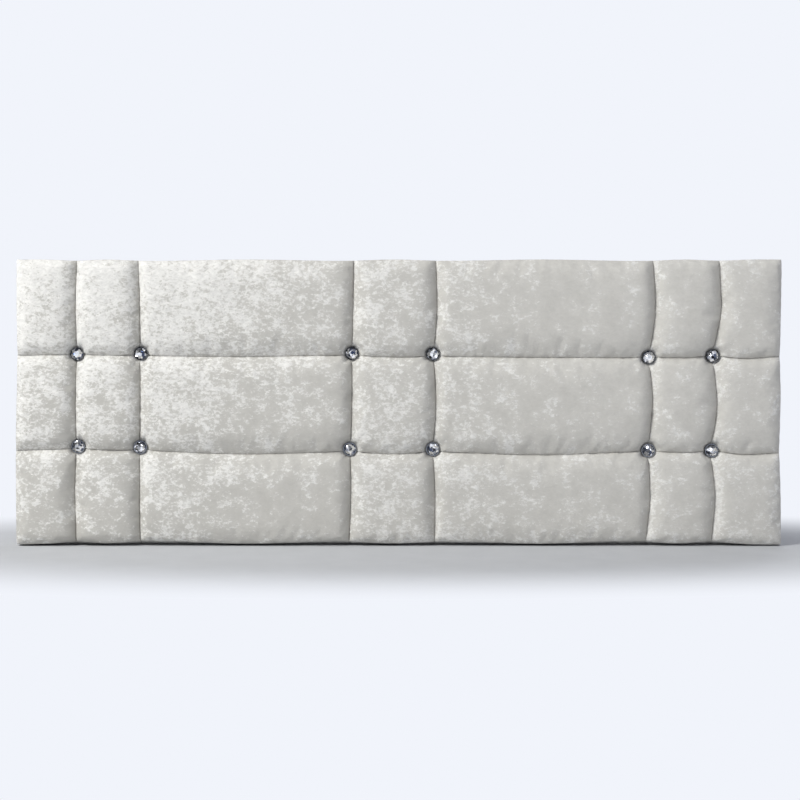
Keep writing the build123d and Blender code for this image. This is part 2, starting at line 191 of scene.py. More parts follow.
not_lighting = node(
    tree, "ShaderNodeMath", {0: 1.0, 1: rays.outputs["Is Diffuse Ray"]}, operation="SUBTRACT"
)
glow_share = node(
    tree, "ShaderNodeMath", {0: run_out.outputs[0], 1: not_lighting.outputs[0]}, operation="MULTIPLY"
)
blended = node(
    tree, "ShaderNodeMixShader", {0: glow_share.outputs[0], 1: matt.outputs[0], 2: glow.outputs[0]}
)
node(tree, "ShaderNodeOutputMaterial", {"Surface": blended.outputs[0]})


# Padded front. One sewn velvet cover, drawn over foam and stapled behind, in seven columns and three
# rows of pads. Each pad has a nearly flat front and full round shoulders, and its right and lower
# shoulders roll over the seam beside them.
pad_widths = np.array((104, 115, 381, 149, 388, 115, 118)) * mm
pad_heights = np.array((168, 172, 173)) * mm
width, height = pad_widths.sum(), pad_heights.sum()
panel_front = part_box("face_panel")[0].y
# A pad's crown stands this far before the face panel, and a sewn seam and an outer side drop back from
# it. A little of the drop is spread over the whole pad, and the rest is in its shoulders.
crown = 41 * mm
seam_drop = 18 * mm
side_drop = 13 * mm
shoulder = 20 * mm
side_shoulder = 14 * mm
sag_share = 0.15
cell = 4.8 * mm
shoulder_steps = np.array((0, 0.5, 1.3, 2.4, 3.9, 5.8, 8.2, 11.2, 15, 19.5, 25)) * mm
column_edges = np.concatenate(((0,), np.cumsum(pad_widths))) - width / 2
row_edges = np.concatenate(((0,), np.cumsum(pad_heights)))


def grid_lines(spans):
    """Pad number and place across the pad of every line of the grid, close together at the seams."""
    lines = []
    for number, span in enumerate(spans):
        count = round((span - 2 * shoulder_steps[-1]) / cell)
        middle = np.linspace(shoulder_steps[-1], span - shoulder_steps[-1], count + 1)[1:-1]
        places = np.concatenate((shoulder_steps, middle, span - shoulder_steps[::-1]))
        lines += [(number, place) for place in places[min(number, 1) :]]
    numbers, places = zip(*lines)
    return np.array(numbers), np.array(places)


def recovery(share):
    """How far the surface has risen again, from 0 at a seam to 1 where it levels out."""
    return 1 - (1 - np.clip(share, 0, 1)) ** 2


def drop_beside(distance, span, deepest, reach):
    """How far the surface lies behind a pad's crown at a distance from one of its edges."""
    in_shoulder = (1 - sag_share) * np.sqrt(recovery(distance / reach))
    return deepest * (1 - (in_shoulder + sag_share * recovery(2 * distance / span)))


def across(numbers, places, spans):
    """Drop along one direction of the grid, from both edges of each pad."""
    span = spans[numbers]
    drop = np.zeros(len(numbers))
    for distance, at_side in ((places, numbers == 0), (span - places, numbers == len(spans) - 1)):
        seam = drop_beside(distance, span, seam_drop, shoulder)
        side = drop_beside(distance, span, side_drop, side_shoulder)
        drop += np.where(at_side, side, seam)
    return drop


def smooth_through(place, knots, values):
    """A smooth curve through given values at the knots."""
    slopes = np.gradient(values, knots)
    n = np.clip(np.searchsorted(knots, place) - 1, 0, len(knots) - 2)
    span = knots[n + 1] - knots[n]
    t = (place - knots[n]) / span
    start = (1 + 2 * t) * (1 - t) ** 2 * values[n] + t * (1 - t) ** 2 * span * slopes[n]
    end = t**2 * (3 - 2 * t) * values[n + 1] + t**2 * (t - 1) * span * slopes[n + 1]
    return start + end


def with_middles(edges):
    """The edges with the middle of every pad between them."""
    return np.sort(np.concatenate((edges, (edges[1:] + edges[:-1]) / 2)))


# The wander of each sewn seam and of the edges, in millimetres: upright ones from the floor up, and
# level ones from the left, at every crossing and in the middle of every pad between.
upright_wander = np.array(
    (
        (0, -1, -1.5, 0, 1, 0, 0),
        (1.5, -1, 1, 0, 1.5, 0, 2),
        (1, 0, 0, 1, 0.5, 0, -3),
        (-6, -3, -3, -1, -0.5, 1, 2.5),
        (-2, -1, -3.5, 0.5, -2, 2.5, 0.5),
        (-12, -4, -6, 0, -3, 5.5, 2),
        (-9, -3, -8, 0.5, -4, 8, 5),
        (-1, -2, -4, -2, -3, -1, 0),
    )
)
level_wander = np.array(
    (
        (2.5, 4, 8, 5, 8.5, 4, 8, 4.5, 7.5, 4, 8, 4.5, 8, 3, 2),
        (4, 6, 6, 5, 4, -2.5, 1, -2, 0.5, -4, 1.5, 0.5, 1.5, -3, 0),
        (2.5, 3.5, 3, 3, 2, 0, 2, -0.5, 0, -1.5, -2, -2, 0, -3, 1),
        (0, 0, -2, 0, -2, 0, -2, 0, -2, 0, -2, 0, -2, 0, 0),
    )
)

column, x_place = grid_lines(pad_widths)
row, z_place = grid_lines(pad_heights)
x_nominal, z_nominal = column_edges[column] + x_place, row_edges[row] + z_place
x_share = (x_place / pad_widths[column])[None, :]
z_share = (z_place / pad_heights[row])[:, None]
x_knots, z_knots = with_middles(column_edges), with_middles(row_edges)
uprights = np.array([smooth_through(z_nominal, z_knots, wander * mm) for wander in upright_wander]).T
levels = np.array([smooth_through(x_nominal, x_knots, wander * mm) for wander in level_wander])
x = x_nominal[None, :] + (1 - x_share) * uprights[:, column] + x_share * uprights[:, column + 1]
z = z_nominal[:, None] + (1 - z_share) * levels[row, :] + z_share * levels[row + 1, :]

x_drop = across(column, x_place, pad_widths)[None, :]
z_drop = across(row, z_place, pad_heights)[:, None]
drop = x_drop + z_drop - x_drop * z_drop / seam_drop

# Buttons pull the cover down into a round seat at each crossing, with short folds running out of it.
seat_radius = 13 * mm
seat_drop = 25.5 * mm
seat_slope = 0.4
seat_softness = 3 * mm
pull_drop = 5 * mm
pull_reach = 32 * mm
fold_height = 1.1 * mm
fold_place = 19 * mm
fold_reach = 12 * mm
# Folds in a whole turn, the turn from one button to the next, and their share of the height
fold_waves = ((7, 1.7, 1.0), (11, 2.9, 0.6))
button_count = 12
button_places = []
for n in range(1, button_count + 1):
    low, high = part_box(f"button_cup_{n}")
    button_places.append(((low.x + high.x) / 2, (low.z + high.z) / 2))
nearest_button = np.full(x.shape, 1.0)
for n, (button_x, button_z) in enumerate(button_places):
    out = np.hypot(x - button_x, z - button_z)
    angle = np.arctan2(z - button_z, x - button_x)
    nearest_button = np.minimum(nearest_button, out)
    drop = drop + pull_drop * np.exp(-((out / pull_reach) ** 2))
    seat = seat_drop - np.maximum(out - seat_radius, 0) / seat_slope
    drop = (drop + seat + np.hypot(drop - seat, seat_softness)) / 2
    folds = sum(share * np.cos(count * angle + turn * n) for count, turn, share in fold_waves)
    drop = drop + fold_height * folds * np.exp(-(((out - fold_place) / fold_reach) ** 2))

# Where it is sewn, the cover rolls over the seam from the left and from above, laps back a little from
# the other side, and puckers. The foam under it is never quite even.
roll = 3.0 * mm
lap = 0.8 * mm
roll_reach = 2.5 * mm
button_clearance = 22 * mm
pucker_depth = 2.2 * mm
pucker_reach = 9 * mm
lump_depth = 1.6 * mm


def rolled(distance):
    """The share of the full roll at a distance from a seam, which is greatest at its reach."""
    return distance / roll_reach * np.exp(1 - distance / roll_reach)


def uneven(per_metre, layer):
    """Smooth unevenness over the front, with about so many swells in a metre."""
    swells = [noise.noise(Vector((u * per_metre, layer, v * per_metre))) for u, v in zip(x.flat, z.flat)]
    return np.array(swells).reshape(x.shape)


clear_of_buttons = 1 - np.exp(-((nearest_button / button_clearance) ** 2))
to_right = (pad_widths[column] - x_place)[None, :]
to_left = x_place[None, :]
to_top = (pad_heights[row] - z_place)[:, None]
to_bottom = z_place[:, None]
last_column, last_row = len(pad_widths) - 1, len(pad_heights) - 1
x_roll = np.where(column < last_column, roll * rolled(to_right), 0)
x_roll = x_roll + np.where(column > 0, lap * rolled(to_left), 0)
z_roll = np.where(row[:, None] > 0, roll * rolled(to_bottom), 0)
z_roll = z_roll + np.where(row[:, None] < last_row, lap * rolled(to_top), 0)
x = x + x_roll * clear_of_buttons
z = z - z_roll * clear_of_buttons
seam_distance = np.minimum(np.minimum(to_left, to_right), np.minimum(to_bottom, to_top))
puckers = uneven(per_metre=85, layer=3.7)
lumps = uneven(per_metre=13, layer=9.1)
drop = drop + pucker_depth * puckers * np.exp(-seam_distance / pucker_reach) + lump_depth * lumps
y = panel_front - crown + drop
z = np.maximum(z, 0)

# The foam presses the cover outwards. It swells as simulated cloth over twenty frames, held along
# every seam, round every button and at the outer edge, and no point may move beyond the limit.
swell_limit = 3.5 * mm
swell_frames = 20
held_at_seam = 2 * mm
held_at_button = 15 * mm
front_points = np.stack((x, y, z), axis=-1).reshape(-1, 3)
row_count, column_count = x.shape
numbers = np.arange(row_count * column_count).reshape(row_count, column_count)
faces = np.stack((numbers[:-1, :-1], numbers[:-1, 1:], numbers[1:, 1:], numbers[1:, :-1]), axis=-1)
faces = faces.reshape(-1, 4)
swelling_mesh = bpy.data.meshes.new("swelling")
swelling_mesh.from_pydata(front_points.tolist(), [], faces.tolist())
swelling = bpy.data.objects.new("swelling", swelling_mesh)
bpy.context.scene.collection.objects.link(swelling)
sewn_down = (seam_distance < held_at_seam) | (nearest_button < held_at_button)
held = swelling.vertex_groups.new(name="held")
held.add(np.flatnonzero(sewn_down.reshape(-1)).tolist(), 1.0, "REPLACE")
cover_cloth = swelling.modifiers.new("cover_cloth", "CLOTH")
cover_cloth.settings.quality = 4
cover_cloth.settings.vertex_group_mass = "held"
cover_cloth.settings.use_pressure = True
cover_cloth.settings.uniform_pressure_force = 4
cover_cloth.settings.shrink_min = -0.01
cover_cloth.settings.effector_weights.gravity = 0
cover_cloth.collision_settings.use_collision = False
for moment in range(1, swell_frames + 1):
    bpy.context.scene.frame_set(moment)
settled = swelling.evaluated_get(bpy.context.evaluated_depsgraph_get())
settled = bpy.data.meshes.new_from_object(settled)
swollen = np.empty(front_points.size)
settled.vertices.foreach_get("co", swollen)
moves = swollen.reshape(-1, 3) - front_points
not_zero = 1e-9
lengths = np.maximum(np.linalg.norm(moves, axis=1, keepdims=True), not_zero)
front_points = front_points + moves / lengths * swell_limit * np.tanh(lengths / swell_limit)
bpy.context.scene.frame_set(1)
bpy.data.objects.remove(swelling)

# The cover runs on round the sides of the frame and back over its edges, where it is stapled.
edge = [(0, n) for n in range(column_count - 1)]
edge += [(n, column_count - 1) for n in range(row_count - 1)]
edge += [(row_count - 1, n) for n in range(column_count - 1, 0, -1)]
edge += [(n, 0) for n in range(row_count - 1, 0, -1)]
edge_rows, edge_columns = (np.array(places) for places in zip(*edge))
side_inset = 2 * mm
cover_thickness = 1.5 * mm
cover_return = 34 * mm
staple_pitch = 55 * mm
cover_half = width / 2 - side_inset
cover_top = height - side_inset
cover_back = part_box("cover_staples")[1].y
frame_back = cover_back - cover_thickness
edge_points = front_points[numbers[edge_rows, edge_columns]]


def frame_ring(inset, at_y):
    """A ring of the cover round the frame, at an inset from the frame's covered edge."""
    ring_x = x_nominal[edge_columns] / (width / 2) * (cover_half - inset)
    ring_z = inset + z_nominal[edge_rows] / height * (cover_top - 2 * inset)
    return np.column_stack((ring_x, np.full(len(ring_x), at_y), ring_z))


# Each staple pulls the cover in a little, some more than others.
pull_at_staples = 0.35 * mm
pull_spread = 0.25 * mm
along_edge = (x_nominal[edge_columns] + z_nominal[edge_rows]) / staple_pitch
pulled = pull_at_staples * np.cos(2 * np.pi * along_edge) + pull_spread * np.sin(4.3 * along_edge)
shoulder_ring = frame_ring(0, panel_front)
rings = [edge_points * (1 - share) + shoulder_ring * share for share in (0.25, 0.5, 0.75)]
# Past the shoulder each ring has its inset from the covered edge and its place from front to back.
rings += [
    shoulder_ring,
    frame_ring(0.4 * pulled, panel_front + 9 * mm),
    frame_ring(0.8 * pulled, panel_front + 17 * mm),
    frame_ring(pulled, cover_back - 2 * mm),
    frame_ring(0.6 * mm, cover_back - 0.6 * mm),
    frame_ring(2 * mm, cover_back),
    frame_ring(cover_return, cover_back),
    frame_ring(cover_return, frame_back),
    frame_ring(cover_thickness, frame_back),
    frame_ring(cover_thickness, panel_front),
]
points = np.concatenate([front_points] + rings)
points[:, 2] = np.maximum(points[:, 2], 0)
loop = numbers[edge_rows, edge_columns]
start = len(front_points)
for _ in rings:
    ahead = np.arange(start, start + len(loop))
    band = np.stack((loop, ahead, np.roll(ahead, -1), np.roll(loop, -1)), axis=-1)
    faces = np.concatenate((faces, band))
    loop = ahead
    start += len(loop)
padding_mesh = bpy.data.meshes.new("padded_velvet_front")
padding_mesh.from_pydata(points.tolist(), [], faces.tolist() + [loop[::-1].tolist()])
padding_mesh.validate()
padding = bpy.data.objects.new("padded_velvet_front", padding_mesh)
bpy.context.scene.collection.objects.link(padding)

# The nap attribute holds the crush of the nap and painted light together. The nap is raised more over
# the left end than on the right, partly by crushing and partly as painted light from the lamp at the
# left, and the upper part of the left end is painted lighter, as if lit from above. It is raised in a
# rim beside the left and upper seams of the right-hand pads, which is a painted highlight, and lies
# away on each pad's right shoulder, which is painted shade.
board_share = (x_nominal[None, :] + width / 2) / width
height_share = z_nominal[:, None] / height
on_left = np.clip(1 - 1.5 * board_share, 0, 1)
on_right = np.clip(board_share * 3 - 1.5, 0, 1)
# Partly painted light: the nap is raised towards the lamp-lit left end, and higher up on the left.
raised_and_lit_share = np.array((0.06, 0.06, 0.07, 0.02, -0.05, -0.06, 0.00, -0.06, -0.18, -0.21, -0.19, -0.19))
raised_and_lit_at = np.array((0.0, 0.15, 0.20, 0.27, 0.36, 0.43, 0.47, 0.58, 0.70, 0.82, 0.90, 1.0))
raised_and_lit_along = np.interp(board_share, raised_and_lit_at, raised_and_lit_share)
raised_and_lit_above = (0.30 * on_left - 0.08 * (1 - on_left)) * (height_share - 0.62)
raised_and_lit_patch = 0.14 * np.exp(-(((board_share - 0.34) / 0.09) ** 2)) * (height_share - 0.75)
# Painted highlights: bright rims beside the left seams and in the upper left corners of the right-hand
# pads.
painted_left_rim_highlights = (0.02 + 0.24 * on_right) * np.exp(-to_left / (8 * mm))
painted_corner_highlights = 0.30 * on_right * np.exp(-(to_left / (28 * mm)) - (to_top / (30 * mm)))
bottom_rim = 0.08 * on_right * np.exp(-z_nominal[:, None] / (90 * mm))
# Painted shade on each pad's right shoulder, which faces away from the lamp at the left.
painted_right_shoulder_shade = 0.11 * np.exp(-to_right / (22 * mm)) * (column < last_column)
nap_and_painted_light = raised_and_lit_along + raised_and_lit_above + raised_and_lit_patch
nap_and_painted_light = nap_and_painted_light + painted_left_rim_highlights + painted_corner_highlights + bottom_rim - painted_right_shoulder_shade
# Painted shade, with a little real darkening where the stitching presses the pile: the pile is painted
# dark beside the sewn seams, most of all where a shoulder rolls over one. The board's outer edges
# aren't sewn, so they count as far away.
painted_shade_under_rolls = np.exp(-((to_right / (9 * mm)) ** 1.3)) * (column < last_column)
painted_shade_over_seams = 0.6 * np.exp(-to_bottom / (4 * mm)) * (row[:, None] > 0)
far = 1.0
to_upright_seam = np.minimum(
    np.where(column > 0, to_left, far),
    np.where(column < last_column, to_right, far),
)
to_level_seam = np.minimum(
    np.where(row[:, None] > 0, to_bottom, far),
    np.where(row[:, None] < last_row, to_top, far),
)
sewn_distance = np.minimum(to_upright_seam, to_level_seam)
stitched_and_painted_crease_shade = 0.9 * np.exp(-sewn_distance / (1.2 * mm))
pressed_and_painted_shade = np.maximum(np.maximum(painted_shade_under_rolls, painted_shade_over_seams), stitched_and_painted_crease_shade)
for name, values in (("nap_lift_and_painted_light", nap_and_painted_light), ("nap_pressed_and_painted_shade", pressed_and_painted_shade)):
    round_sides = np.tile(values[edge_rows, edge_columns], len(rings))
    spread = np.concatenate((values.reshape(-1), round_sides))
    padding_mesh.attributes.new(name, "FLOAT", "POINT").data.foreach_set("value", spread)

shaping = bmesh.new()
shaping.from_mesh(padding_mesh)
bmesh.ops.recalc_face_normals(shaping, faces=shaping.faces)
shaping.to_mesh(padding_mesh)
shaping.free()
padding_mesh.shade_smooth()

# Crushed polyester velvet. The pile is pressed flat in all directions, so it breaks up into bright and
# grey crumbs, a few millimetres across, that gather in drifts a few centimetres wide.
velvet, tree, place = bare_finish("crushed_velvet")
lift_and_painted_light = node(tree, "ShaderNodeAttribute", attribute_name="nap_lift_and_painted_light").outputs["Fac"]
pressing_and_painted_shade = node(tree, "ShaderNodeAttribute", attribute_name="nap_pressed_and_painted_shade").outputs["Fac"]
brushed = node(tree, "ShaderNodeMapping", {"Vector": place, "Scale": (0.8, 1.0, 1.25)}).outputs[0]
crumbs = node(
    tree,
    "ShaderNodeTexNoise",
    {"Vector": brushed, "Scale": 1 / (6.5 * mm), "Detail": 4.0, "Roughness": 0.7, "Distortion": 0.3},
)
drifts = node(
    tree,
    "ShaderNodeTexNoise",
    {"Vector": place, "Scale": 1 / (36 * mm), "Detail": 4.0, "Roughness": 0.65},
)
# The real pile is far finer than this grain, which is as fine as shows.
pile_grain = node(
    tree,
    "ShaderNodeTexNoise",
    {"Vector": place, "Scale": 1 / (2.4 * mm), "Detail": 3.0, "Roughness": 0.6},
)
# Crushing also leaves short creases about 5 mm wide in the pile, which show most where it is raised.
flow = node(tree, "ShaderNodeTexNoise", {"Vector": place, "Scale": 1 / (26 * mm), "Detail": 2.0})
swirled = node(
    tree,
    "ShaderNodeVectorMath",
    {0: flow.outputs["Color"], 1: [22 * mm] * 3, 2: place},
    operation="MULTIPLY_ADD",
)
combed = node(tree, "ShaderNodeMapping", {"Vector": swirled.outputs[0], "Scale": (0.6, 1.0, 1.2)})
creases = node(
    tree,
    "ShaderNodeTexNoise",
    {"Vector": combed.outputs[0], "Scale": 1 / (5.5 * mm), "Detail": 4.0, "Roughness": 0.65},
)
# Where the pile lies flat, it stands up in clumps only.
clumping = node(tree, "ShaderNodeMath", {0: lift_and_painted_light, 1: -3.0, 2: 0.8}, operation="MULTIPLY_ADD")
drift = node(tree, "ShaderNodeMath", {0: drifts.outputs[0], 1: 0.5}, operation="SUBTRACT")
drift_lift = node(
    tree, "ShaderNodeMath", {0: drift.outputs[0], 1: clumping.outputs[0]}, operation="MULTIPLY"
)
grain_lift = node(
    tree, "ShaderNodeMath", {0: pile_grain.outputs[0], 1: 0.3, 2: -0.15}, operation="MULTIPLY_ADD"
)
crumb_lift = node(
    tree, "ShaderNodeMath", {0: crumbs.outputs[0], 1: 1.25, 2: -0.125}, operation="MULTIPLY_ADD"
)
sums = node(
    tree, "ShaderNodeMath", {0: crumb_lift.outputs[0], 1: drift_lift.outputs[0]}, operation="ADD"
)
sums = node(tree, "ShaderNodeMath", {0: sums.outputs[0], 1: grain_lift.outputs[0]}, operation="ADD")
# The painted light in the nap attribute shifts where the bright nap shows.
sums = node(tree, "ShaderNodeMath", {0: sums.outputs[0], 1: lift_and_painted_light}, operation="ADD")
raised = node(
    tree,
    "ShaderNodeMapRange",
    {"Value": sums.outputs[0], "From Min": 0.42, "From Max": 0.62},
    interpolation_type="SMOOTHSTEP",
)
along = node(tree, "ShaderNodeSeparateXYZ", {0: place})
# Painted light: the flat pile is painted lighter towards the right end, to even out the lamp's falloff
# there.
painted_light_lean = node(
    tree,
    "ShaderNodeMapRange",
    {
        "Value": along.outputs["X"],
        "From Min": -600 * mm,
        "From Max": 450 * mm,
        "To Min": -0.15,
        "To Max": 0.30,
    },
)
flat_drift_and_painted_light = node(tree, "ShaderNodeMath", {0: drifts.outputs[0], 1: painted_light_lean.outputs[0]}, operation="ADD")
flat_tone = node(
    tree,
    "ShaderNodeMix",
    {0: flat_drift_and_painted_light.outputs[0], 6: linear("#B5B3AD"), 7: linear("#D7D5CF")},
    data_type="RGBA",
)
nap_tone = node(
    tree,
    "ShaderNodeMix",
    {0: raised.outputs[0], 6: flat_tone.outputs[2], 7: linear("#E9E8E4")},
    data_type="RGBA",
)
# Painted shade: the tone darkens towards #96938A beside the seams and under the rolled shoulders.
shaded = node(tree, "ShaderNodeMath", {0: pressing_and_painted_shade, 1: 0.5}, operation="MULTIPLY")
tone = node(
    tree,
    "ShaderNodeMix",
    {0: shaded.outputs[0], 6: nap_tone.outputs[2], 7: linear("#96938A")},
    data_type="RGBA",
)
crease_light = node(
    tree,
    "ShaderNodeMapRange",
    {"Value": creases.outputs[0], "From Min": 0.3, "From Max": 0.7, "To Min": 0.79, "To Max": 1.08},
)
crease_share = node(
    tree, "ShaderNodeMath", {0: raised.outputs[0], 1: 0.7, 2: 0.3}, operation="MULTIPLY_ADD"
)
tone = node(
    tree,
    "ShaderNodeMix",
    {0: crease_share.outputs[0], 6: tone.outputs[2], 7: crease_light.outputs[0]},
    data_type="RGBA",
    blend_type="MULTIPLY",
)
pile_height = node(
    tree, "ShaderNodeMath", {0: creases.outputs[0], 1: 0.8, 2: sums.outputs[0]}, operation="MULTIPLY_ADD"
)
relief = node(
    tree, "ShaderNodeBump", {"Height": pile_height.outputs[0], "Strength": 0.5, "Distance": 0.9 * mm}
)
surface = node(
    tree,
    "ShaderNodeBsdfPrincipled",
    {
        "Base Color": tone.outputs[2],
        "Roughness": 0.75,
        "Sheen Weight": 0.25,
        "Sheen Roughness": 0.45,
        "Normal": relief.outputs[0],
    },
)
node(tree, "ShaderNodeOutputMaterial", {"Surface": surface.outputs[0]})
padding_mesh.materials.append(velvet)
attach(padding, "root")
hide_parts("velvet_cover", "foam_slab")


# Crystal buttons. Each is a stone of cut acrylic with mirror foil on its flat back, pressed into a small
# cup. Its polished crown facets and the smaller ones that they show in the foil glint one by one, from
# facet normals tilted at random and from a painted reflection, dark navy to white, in each facet's
# colour.
def dress(names, finish):
    """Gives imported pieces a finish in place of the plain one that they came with."""
    for name in names:
        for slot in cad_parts[name].material_slots:
            slot.material = finish


stone, tree, place = bare_finish("foiled_cut_acrylic")
small_facets = node(
    tree, "ShaderNodeTexVoronoi", {"Vector": place, "Scale": 1 / (5 * mm), "Randomness": 0.9}
)
turned_aside = node(
    tree,
    "ShaderNodeVectorMath",
    {0: small_facets.outputs["Color"], 1: (0.5, 0.5, 0.5)},
    operation="SUBTRACT",
)
cut_angle = node(
    tree, "ShaderNodeVectorMath", {0: turned_aside.outputs[0], "Scale": 1.1}, operation="SCALE"
)
crown_facet = node(tree, "ShaderNodeNewGeometry").outputs["Normal"]
facing = node(tree, "ShaderNodeVectorMath", {0: crown_facet, 1: cut_angle.outputs[0]}, operation="ADD")
facing = node(tree, "ShaderNodeVectorMath", {0: facing.outputs[0]}, operation="NORMALIZE")
# Painted reflection: each small facet is painted between dark navy and white, for what it would mirror.
facet_tint = node(tree, "ShaderNodeSeparateColor", {0: small_facets.outputs["Color"]})
painted_facet_glint = node(
    tree, "ShaderNodeMapRange", {"Value": facet_tint.outputs[0], "From Min": 0.2, "From Max": 0.6}
)
painted_facet_reflection = node(
    tree,
    "ShaderNodeMix",
    {0: painted_facet_glint.outputs[0], 6: linear("#3A4560"), 7: linear("#FBFCFF")},
    data_type="RGBA",
)
# Painted reflection: the steep facets round the edge are painted dark navy, for the dark cup that they
# would show past the foil.
steepness = node(tree, "ShaderNodeSeparateXYZ", {0: crown_facet})
painted_dark_rim = node(
    tree,
    "ShaderNodeMapRange",
    {"Value": steepness.outputs["Y"], "From Min": -0.70, "From Max": -0.78, "To Min": 0.3},
)
painted_facet_reflection = node(
    tree,
    "ShaderNodeMix",
    {0: painted_dark_rim.outputs[0], 6: linear("#1C2338"), 7: painted_facet_reflection.outputs[2]},
    data_type="RGBA",
)
surface = node(
    tree,
    "ShaderNodeBsdfPrincipled",
    {
        "Base Color": painted_facet_reflection.outputs[2],
        "Metallic": 1.0,
        "Roughness": 0.03,
        "Coat Weight": 1.0,
        "Coat Roughness": 0.02,
        "Normal": facing.outputs[0],
        "Coat Normal": crown_facet,
    },
)
node(tree, "ShaderNodeOutputMaterial", {"Surface": surface.outputs[0]})
dress([f"button_crystal_{n}" for n in range(1, button_count + 1)], stone)


# Button cups. Thin pressed brass, plated with bright chrome, which mirrors the light back through the
# stone. The plating has a little haze from handling.
cup_chrome, tree, place = bare_finish("chrome_plated_brass")
haze = node(tree, "ShaderNodeTexNoise", {"Vector": place, "Scale": 1 / (3 * mm), "Detail": 4.0})
polish = node(tree, "ShaderNodeMapRange", {"Value": haze.outputs[0], "To Min": 0.04, "To Max": 0.14})
surface = node(
    tree,
    "ShaderNodeBsdfPrincipled",
    {"Base Color": linear("#8E939E"), "Metallic": 1.0, "Roughness": polish.outputs[0]},
)
node(tree, "ShaderNodeOutputMaterial", {"Surface": surface.outputs[0]})
dress([f"button_cup_{n}" for n in range(1, button_count + 1)], cup_chrome)


# Dust cloth. Black spunbond polypropylene, stretched over the back of the frame and stapled, with a
# round window for each bolt. It is pulled a little hollow between the battens and puckers at staples.
cloth_thickness = 0.6 * mm
cloth_low, cloth_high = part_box("dust_cover")
cloth_inset = 6 * mm
cloth_pitch = 105 * mm
staple_corner = 10 * mm
window_radius = 13 * mm
nut_radius = 11 * mm
hollow_depth = 1.2 * mm
hollow_reach = 60 * mm
flat_at_edge = 40 * mm
flat_at_bolt = 20 * mm
gather_depth = 0.9 * mm
gather_reach = 30 * mm
gather_end = 90 * mm
gather_start = 12 * mm
gathers_round = 7
ripples_across = 9
ripples_up = 17
punch_depth = 30 * mm
nut_low, nut_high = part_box("tee_nuts")
bolt_x = nut_high.x - nut_radius
bolt_heights = (nut_low.z + nut_radius, nut_high.z - nut_radius)


def spaced(start, end, pitch):
    """Even places along a run, about a pitch apart and half a pitch in from its ends."""
    count = max(1, int((end - start) / pitch))
    return [start + (end - start) * (n + 0.5) / count for n in range(count)]


def ring_places(low_x, high_x, low_z, high_z, inset, pitch):
    """Staple places round a covered edge: x, z and whether the staple stands upright."""
    left, right, bottom, top = low_x + inset, high_x - inset, low_z + inset, high_z - inset
    along = spaced(left + staple_corner, right - staple_corner, pitch)
    up = spaced(bottom + staple_corner, top - staple_corner, pitch)
    level = [(u, v, 0) for u in along for v in (bottom, top)]
    return level + [(u, v, 1) for v in up for u in (left, right)]


cloth_edges = (cloth_low.x, cloth_high.x, cloth_low.z, cloth_high.z)
cloth_staples = ring_places(*cloth_edges, cloth_inset, cloth_pitch)
cloth_cell = 6 * mm
across_count = round((cloth_high.x - cloth_low.x) / cloth_cell)
up_count = round((cloth_high.z - cloth_low.z) / cloth_cell)
cloth = bmesh.new()
bmesh.ops.create_grid(cloth, x_segments=across_count, y_segments=up_count, size=1)
for vertex in cloth.verts:
    u = cloth_low.x + (vertex.co.x + 1) / 2 * (cloth_high.x - cloth_low.x)
    v = cloth_low.z + (vertex.co.y + 1) / 2 * (cloth_high.z - cloth_low.z)
    from_edge = min(u - cloth_low.x, cloth_high.x - u, v - cloth_low.z, cloth_high.z - v)
    inward = min(max(from_edge - flat_at_edge, 0) / hollow_reach, 1)
    from_bolt = min(math.hypot(abs(u) - bolt_x, v - bolt_z) for bolt_z in bolt_heights)
    unheld = min(max(from_bolt - flat_at_bolt, 0) / hollow_reach, 1)
    ripple = noise.noise(Vector((u * ripples_across, 1.3, v * ripples_up)))
    gather = 0
    for staple_x, staple_z, _ in cloth_staples:
        away = math.hypot(u - staple_x, v - staple_z)
        if away < gather_end:
            angle = math.atan2(v - staple_z, u - staple_x)
            folds = 0.5 + 0.5 * math.cos(gathers_round * angle + 50 * staple_x)
            gather += folds * math.exp(-away / gather_reach) * min(away / gather_start, 1)
    hollow = hollow_depth * inward * unheld * (1 + ripple)
    hollow -= gather_depth * gather * min(from_edge / cloth_inset, 1)
    vertex.co = Vector((u, cloth_low.y - hollow, v))
cloth_mesh = bpy.data.meshes.new("dust_cloth")
cloth.to_mesh(cloth_mesh)
cloth.free()
dust_cloth = bpy.data.objects.new("dust_cloth", cloth_mesh)
bpy.context.scene.collection.objects.link(dust_cloth)
thickening = dust_cloth.modifiers.new("thickness", "SOLIDIFY")
thickening.thickness = cloth_thickness
thickening.offset = -1
punch = bmesh.new()
for side in (-1, 1):
    for bolt_z in bolt_heights:
        rim = bmesh.ops.create_cone(
            punch,
            cap_ends=True,
            segments=40,
            radius1=window_radius,
            radius2=window_radius,
            depth=punch_depth,
        )["verts"]
        bmesh.ops.rotate(punch, verts=rim, matrix=Vector((0, 1, 0)).to_track_quat("Z", "Y").to_matrix())
        bmesh.ops.translate(punch, verts=rim, vec=(side * bolt_x, cloth_high.y, bolt_z))
punch_mesh = bpy.data.meshes.new("window_punch")
punch.to_mesh(punch_mesh)
punch.free()
window_punch = bpy.data.objects.new("window_punch", punch_mesh)
bpy.context.scene.collection.objects.link(window_punch)
windows = dust_cloth.modifiers.new("windows", "BOOLEAN")
windows.operation = "DIFFERENCE"
windows.object = window_punch


def made_plain(made):
    """Turns an object's modifiers into plain mesh and takes them off."""
    shaped = made.evaluated_get(bpy.context.evaluated_depsgraph_get())
    shaped = bpy.data.meshes.new_from_object(shaped)
    made.modifiers.clear()
    made.data = shaped
    made.data.name = made.name


made_plain(dust_cloth)
bpy.data.objects.remove(window_punch)
dust_cloth.data.shade_smooth()
dust_cloth.data.set_sharp_from_angle(angle=math.radians(50))
spunbond, tree, place = bare_finish("black_spunbond_polypropylene")
